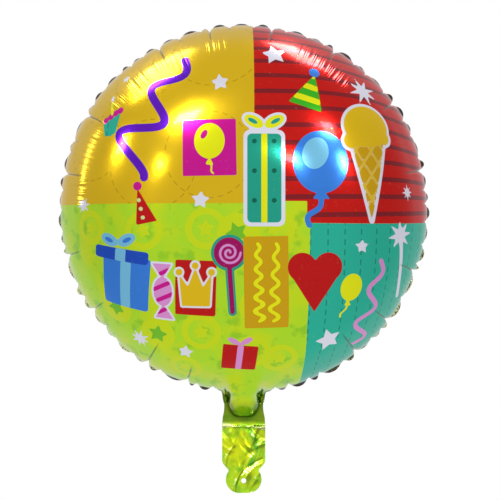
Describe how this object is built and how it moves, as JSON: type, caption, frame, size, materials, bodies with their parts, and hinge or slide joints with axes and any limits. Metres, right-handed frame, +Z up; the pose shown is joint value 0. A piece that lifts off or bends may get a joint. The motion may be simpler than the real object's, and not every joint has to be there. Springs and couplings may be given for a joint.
{
  "type": "round foil balloon",
  "caption": "Inflated round foil balloon with a puckered welded rim, printed party pictures, and a folding filling tail with a self-sealing valve and a ribbon hole.",
  "frame": {"origin": "middle of the flat crown of the back panel, where a glue dot or tape fixes the balloon to a wall", "axes": "+Y out of the back panel, so the printed front faces -Y; +Z up, from the tail to the top of the rim; +X to the right as the front is looked at"},
  "size_m": [0.351, 0.2054, 0.4459],
  "materials": {
    "printed_foil": "glossy printed foil",
    "tail_foil": "glossy lime foil",
    "rim_seal": "heat-sealed foil",
    "valve_film": "clear film",
    "release_coat": "printed coat"
  },
  "bodies": {
    "envelope": {"front_panel": "printed_foil", "back_panel": "printed_foil", "rim_weld": "rim_seal", "neck_front_film": "tail_foil", "neck_back_film": "tail_foil", "neck_edge_welds": "rim_seal", "valve_front_root": "valve_film", "valve_back_root": "valve_film", "release_coat": "release_coat"},
    "tail": {"tail_front_film": "tail_foil", "tail_back_film": "tail_foil", "tail_edge_welds": "rim_seal", "tail_valve_front_film": "valve_film", "tail_valve_back_film": "valve_film"},
    "front_lip": {"valve_front_lip": "valve_film"},
    "back_lip": {"valve_back_lip": "valve_film"}
  },
  "joints": [
    {"name": "tail_crease", "type": "hinge", "parent": "envelope", "child": "tail", "pos_m": [0, -0.10269, -0.20748], "axis": [1, 0, 0], "range_deg": [-120, 120]},
    {"name": "front_lip_part", "type": "hinge", "parent": "envelope", "child": "front_lip", "pos_m": [0, -0.10269, -0.19548], "axis": [1, 0, 0], "range_deg": [0, 8], "stiffness_Nm_per_rad": 0.001},
    {"name": "back_lip_part", "type": "hinge", "parent": "envelope", "child": "back_lip", "pos_m": [0, -0.10269, -0.19548], "axis": [-1, 0, 0], "range_deg": [0, 8], "stiffness_Nm_per_rad": 0.001}
  ],
  "couplings": [
    {"joint": "back_lip_part", "follows": "front_lip_part", "ratio": 1}
  ]
}
